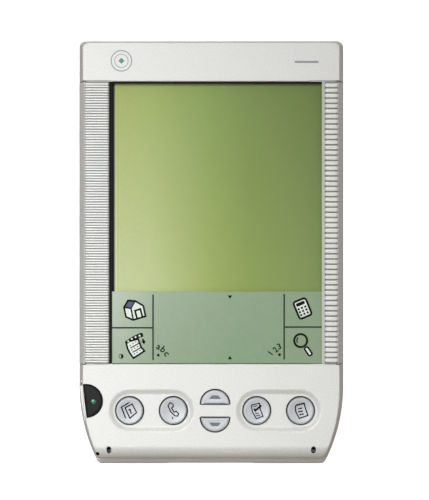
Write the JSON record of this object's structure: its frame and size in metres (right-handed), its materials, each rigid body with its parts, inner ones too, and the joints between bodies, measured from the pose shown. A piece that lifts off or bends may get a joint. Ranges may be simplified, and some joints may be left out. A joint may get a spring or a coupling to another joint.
{
  "type": "personal digital assistant",
  "caption": "Pocket digital assistant with a touch screen, ribbed side grips, round keys, stylus, expansion bay blank and hinged battery door.",
  "frame": {"origin": "middle of the back face, on which the device lies", "axes": "+Z out of the screen, +Y towards the top of the device, +X to its right seen from the front"},
  "size_m": [0.0764, 0.1218, 0.0178],
  "materials": {
    "silver_paint": "moulded plastic under silver metallic paint, satin",
    "grip_paint": "moulded ribbed plastic under silver metallic paint, satin",
    "key_cap": "silvered plastic caps with printed pictograms",
    "black_key": "black grained plastic with a green light dot",
    "dome_steel": "bright snap domes",
    "black_foam": "black foam gasket",
    "printed_film": "clear film with printed pictograms",
    "touch_glass": "matte touch sheet on clear glass",
    "display_glass": "yellow-green reflective liquid crystal display",
    "white_plastic": "white moulded plastic",
    "ribbon_film": "amber polyimide ribbon",
    "circuit_board": "green solder mask on glass-epoxy laminate",
    "black_epoxy": "black moulded epoxy",
    "tin_plate": "tinned can",
    "black_plastic": "black moulded plastic",
    "dark_window": "dark red infrared-clear plastic",
    "speaker_brass": "brass disc with ceramic",
    "cell_jacket": "printed cell jacket",
    "contact_steel": "nickel-plated spring steel",
    "screw_steel": "zinc-plated steel",
    "stylus_barrel_metal": "satin silver tube"
  },
  "bodies": {
    "case": {"front_shell": "silver_paint", "rear_shell": "silver_paint", "left_side_grip": "grip_paint", "right_side_grip": "grip_paint", "screen_gasket": "black_foam", "writing_area_film": "printed_film", "touch_panel": "touch_glass", "display_panel": "display_glass", "backlight_panel": "white_plastic", "display_carrier": "white_plastic", "display_ribbon": "ribbon_film", "touch_ribbon": "ribbon_film", "date_book_dome": "dome_steel", "address_book_dome": "dome_steel", "to_do_list_dome": "dome_steel", "memo_pad_dome": "dome_steel", "scroll_up_dome": "dome_steel", "scroll_down_dome": "dome_steel", "power_dome": "dome_steel", "main_board": "circuit_board", "processor_chip": "black_epoxy", "memory_chip": "black_epoxy", "rom_chip": "black_epoxy", "clock_crystal": "tin_plate", "backup_capacitor": "tin_plate", "module_connector": "black_plastic", "cradle_connector": "black_plastic", "infrared_transceiver": "black_plastic", "infrared_window": "dark_window", "speaker_disc": "speaker_brass", "microphone": "tin_plate", "reset_switch": "tin_plate", "upper_cell": "cell_jacket", "lower_cell": "cell_jacket", "bridge_contact": "contact_steel", "positive_contact": "contact_steel", "negative_contact": "contact_steel", "top_left_screw": "screw_steel", "top_right_screw": "screw_steel", "bottom_left_screw": "screw_steel", "bottom_right_screw": "screw_steel"},
    "date_book_key": {"date_book_button": "key_cap"},
    "address_book_key": {"address_book_button": "key_cap"},
    "to_do_list_key": {"to_do_list_button": "key_cap"},
    "memo_pad_key": {"memo_pad_button": "key_cap"},
    "scroll_up_key": {"scroll_up_button": "key_cap"},
    "scroll_down_key": {"scroll_down_button": "key_cap"},
    "power_key": {"power_button": "black_key"},
    "reset_key": {"reset_plunger": "black_plastic"},
    "stylus": {"stylus_barrel": "stylus_barrel_metal", "stylus_tip": "black_plastic", "stylus_cap": "black_plastic"},
    "bay_blank": {"expansion_blank": "silver_paint"},
    "cell_door": {"battery_door": "silver_paint"}
  },
  "joints": [
    {"name": "date_book_press", "type": "slide", "parent": "case", "child": "date_book_key", "axis": [0, 0, -1], "range_m": [0, 0.0005], "stiffness_N_per_m": 1200},
    {"name": "address_book_press", "type": "slide", "parent": "case", "child": "address_book_key", "axis": [0, 0, -1], "range_m": [0, 0.0005], "stiffness_N_per_m": 1200},
    {"name": "to_do_list_press", "type": "slide", "parent": "case", "child": "to_do_list_key", "axis": [0, 0, -1], "range_m": [0, 0.0005], "stiffness_N_per_m": 1200},
    {"name": "memo_pad_press", "type": "slide", "parent": "case", "child": "memo_pad_key", "axis": [0, 0, -1], "range_m": [0, 0.0005], "stiffness_N_per_m": 1200},
    {"name": "scroll_up_press", "type": "slide", "parent": "case", "child": "scroll_up_key", "axis": [0, 0, -1], "range_m": [0, 0.0005], "stiffness_N_per_m": 1200},
    {"name": "scroll_down_press", "type": "slide", "parent": "case", "child": "scroll_down_key", "axis": [0, 0, -1], "range_m": [0, 0.0005], "stiffness_N_per_m": 1200},
    {"name": "power_press", "type": "slide", "parent": "case", "child": "power_key", "axis": [0, 0, -1], "range_m": [0, 0.0005], "stiffness_N_per_m": 1200},
    {"name": "reset_press", "type": "slide", "parent": "case", "child": "reset_key", "axis": [0, 0, 1], "range_m": [0, 0.00035], "stiffness_N_per_m": 800},
    {"name": "stylus_slide", "type": "slide", "parent": "case", "child": "stylus", "axis": [0, 1, 0], "range_m": [0, 0.11]},
    {"name": "expansion_blank_slide", "type": "slide", "parent": "case", "child": "bay_blank", "axis": [0, 1, 0], "range_m": [0, 0.062]},
    {"name": "battery_door_hinge", "type": "hinge", "parent": "case", "child": "cell_door", "pos_m": [0, -0.052, 0.00095], "axis": [-1, 0, 0], "range_deg": [0, 100]}
  ]
}
